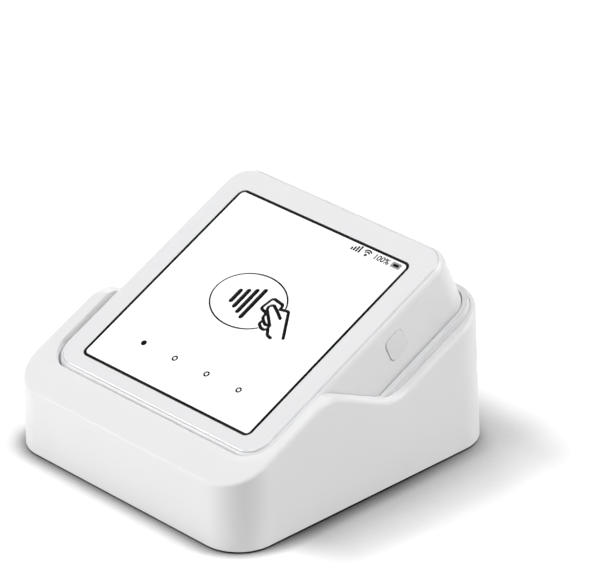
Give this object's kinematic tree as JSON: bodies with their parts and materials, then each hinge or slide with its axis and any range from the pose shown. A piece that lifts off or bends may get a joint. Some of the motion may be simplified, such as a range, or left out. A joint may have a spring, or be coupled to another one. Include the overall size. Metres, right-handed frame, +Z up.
{
  "type": "card payment terminal",
  "caption": "Square touch-screen card payment terminal that stands on a sloping cradle, in a white wedge-shaped charging stand.",
  "frame": {"origin": "middle of the stand's outline, on the surface that it rests on", "axes": "+X to the right of a person who faces the screen, +Y away from that person, +Z up"},
  "size_m": [0.0944, 0.1032, 0.0605],
  "materials": {
    "shell_plastic": "fine satin moulding",
    "button_plastic": "smooth satin moulding",
    "cover_glass": "polished, rounded edge",
    "bezel_print": "white print seen through glass",
    "black_foam": "fine closed-cell foam",
    "display": "smooth",
    "light_guide": "frosted",
    "coil_film": "copper on film",
    "chassis_alloy": "die-cast, unpolished",
    "circuit_board": "solder mask",
    "black_plastic": "moulded",
    "sheet_steel": "plated sheet",
    "screw_steel": "zinc plated",
    "contact_brass": "gold flashed",
    "battery_wrap": "film wrap",
    "base_plastic": "moulded",
    "ballast_iron": "painted",
    "foot_rubber": "soft, fine grain",
    "ribbon_film": "flexible film"
  },
  "bodies": {
    "stand": {"stand_shell": "shell_plastic", "cradle_tray": "shell_plastic", "tray_screws": "screw_steel", "base_plate": "base_plastic", "base_screws": "screw_steel", "foot_pad": "foot_rubber", "ballast_plate": "ballast_iron", "charging_board": "circuit_board", "charging_board_screws": "screw_steel", "stand_usb_shell": "sheet_steel", "stand_usb_tongue": "black_plastic", "pin_holder": "black_plastic", "holder_screws": "screw_steel", "pin_board": "circuit_board", "lead_ribbon": "ribbon_film", "pin_spring_1": "screw_steel", "pin_spring_2": "screw_steel", "pin_spring_3": "screw_steel", "pin_spring_4": "screw_steel"},
    "reader": {"cover_glass": "cover_glass", "glass_gasket": "black_foam", "bezel_mask": "bezel_print", "display_panel": "display", "display_backlight": "light_guide", "antenna_coil": "coil_film", "display_chassis": "chassis_alloy", "reader_housing": "shell_plastic", "back_cover": "shell_plastic", "back_screws": "screw_steel", "main_board": "circuit_board", "board_screws": "screw_steel", "shield_can": "sheet_steel", "sim_holder": "sheet_steel", "power_switch": "black_plastic", "chip_reader": "black_plastic", "chip_contacts": "contact_brass", "battery_pack": "battery_wrap", "speaker": "black_plastic", "reader_usb_shell": "sheet_steel", "reader_usb_tongue": "black_plastic", "charge_pads": "contact_brass", "pad_board": "circuit_board"},
    "power_button": {"power_button": "button_plastic", "switch_plunger": "black_plastic"},
    "charge_pin_1": {"charge_pin_1": "contact_brass"},
    "charge_pin_2": {"charge_pin_2": "contact_brass"},
    "charge_pin_3": {"charge_pin_3": "contact_brass"},
    "charge_pin_4": {"charge_pin_4": "contact_brass"}
  },
  "joints": [
    {"name": "reader_lift", "type": "slide", "parent": "stand", "child": "reader", "axis": [0, -0.4305, 0.9026], "range_m": [0, 0.045]},
    {"name": "power_button_press", "type": "slide", "parent": "reader", "child": "power_button", "axis": [-1, 0, 0], "range_m": [0, 0.0005], "stiffness_N_per_m": 3000},
    {"name": "charge_pin_1_press", "type": "slide", "parent": "stand", "child": "charge_pin_1", "axis": [0, 0.4305, -0.9026], "range_m": [0, 0.001], "stiffness_N_per_m": 1000, "deforming": ["pin_spring_1"]},
    {"name": "charge_pin_2_press", "type": "slide", "parent": "stand", "child": "charge_pin_2", "axis": [0, 0.4305, -0.9026], "range_m": [0, 0.001], "stiffness_N_per_m": 1000, "deforming": ["pin_spring_2"]},
    {"name": "charge_pin_3_press", "type": "slide", "parent": "stand", "child": "charge_pin_3", "axis": [0, 0.4305, -0.9026], "range_m": [0, 0.001], "stiffness_N_per_m": 1000, "deforming": ["pin_spring_3"]},
    {"name": "charge_pin_4_press", "type": "slide", "parent": "stand", "child": "charge_pin_4", "axis": [0, 0.4305, -0.9026], "range_m": [0, 0.001], "stiffness_N_per_m": 1000, "deforming": ["pin_spring_4"]}
  ]
}
